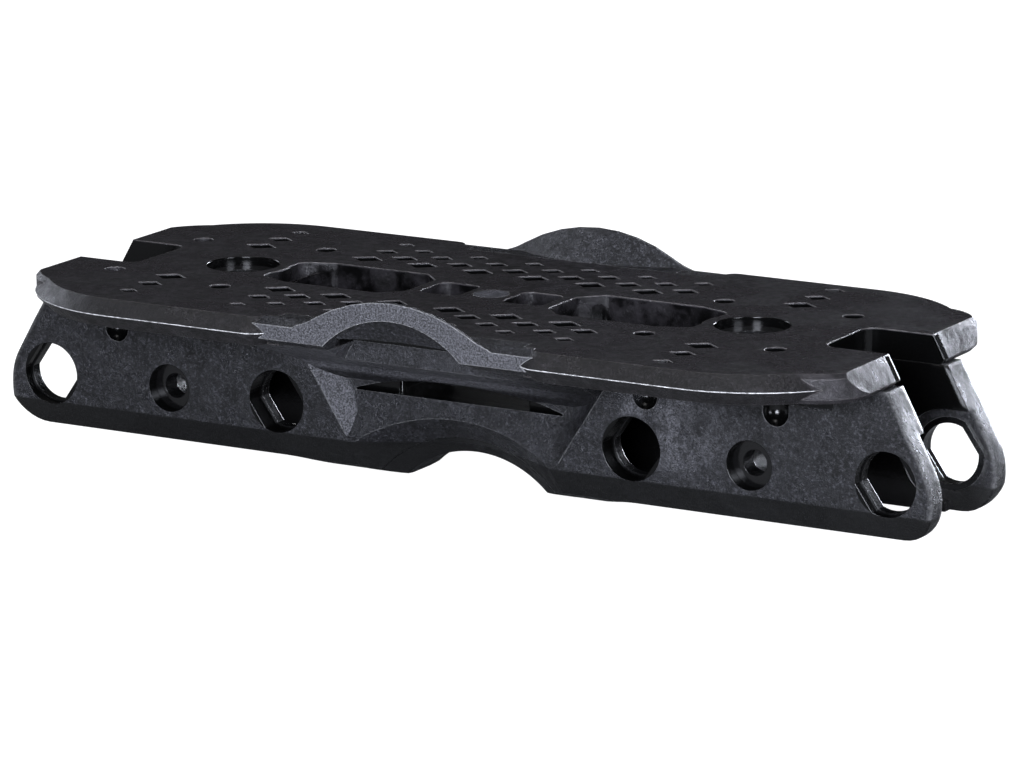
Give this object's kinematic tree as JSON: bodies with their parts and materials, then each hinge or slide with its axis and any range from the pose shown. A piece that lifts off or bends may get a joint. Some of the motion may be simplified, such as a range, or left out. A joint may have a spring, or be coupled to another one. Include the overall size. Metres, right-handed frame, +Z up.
{
  "type": "inline skate frame",
  "caption": "Bare frame for an aggressive inline skate: a wide sole plate over two rails with a grind block, a groove and keyed axle holes.",
  "frame": {"origin": "under the middle of the frame, at the height of the grind block's lowest point", "axes": "+X along the frame to the front, +Y to the left, +Z up through the sole plate"},
  "size_m": [0.2964, 0.1206, 0.0618],
  "materials": {
    "plate_nylon": "fine-textured black nylon",
    "rail_nylon": "grainy black nylon with light scuffs",
    "ring": "glossy black",
    "sleeve": "black-coated metal",
    "washer": "black-coated metal",
    "plug": "satin grey-black"
  },
  "bodies": {
    "root": {"sole_plate": "plate_nylon", "left_arch": "rail_nylon", "right_arch": "rail_nylon", "left_rail": "rail_nylon", "right_rail": "rail_nylon", "grind_block": "rail_nylon", "front_web": "rail_nylon", "rear_web": "rail_nylon", "left_front_axle_ring": "ring", "left_front_inner_axle_ring": "ring", "left_rear_inner_axle_ring": "ring", "left_rear_axle_ring": "ring", "right_front_axle_ring": "ring", "right_front_inner_axle_ring": "ring", "right_rear_inner_axle_ring": "ring", "right_rear_axle_ring": "ring", "left_front_sleeve": "sleeve", "left_rear_sleeve": "sleeve", "right_front_sleeve": "sleeve", "right_rear_sleeve": "sleeve", "front_bolt_washer": "washer", "rear_bolt_washer": "washer", "centre_plug": "plug"}
  },
  "joints": []
}
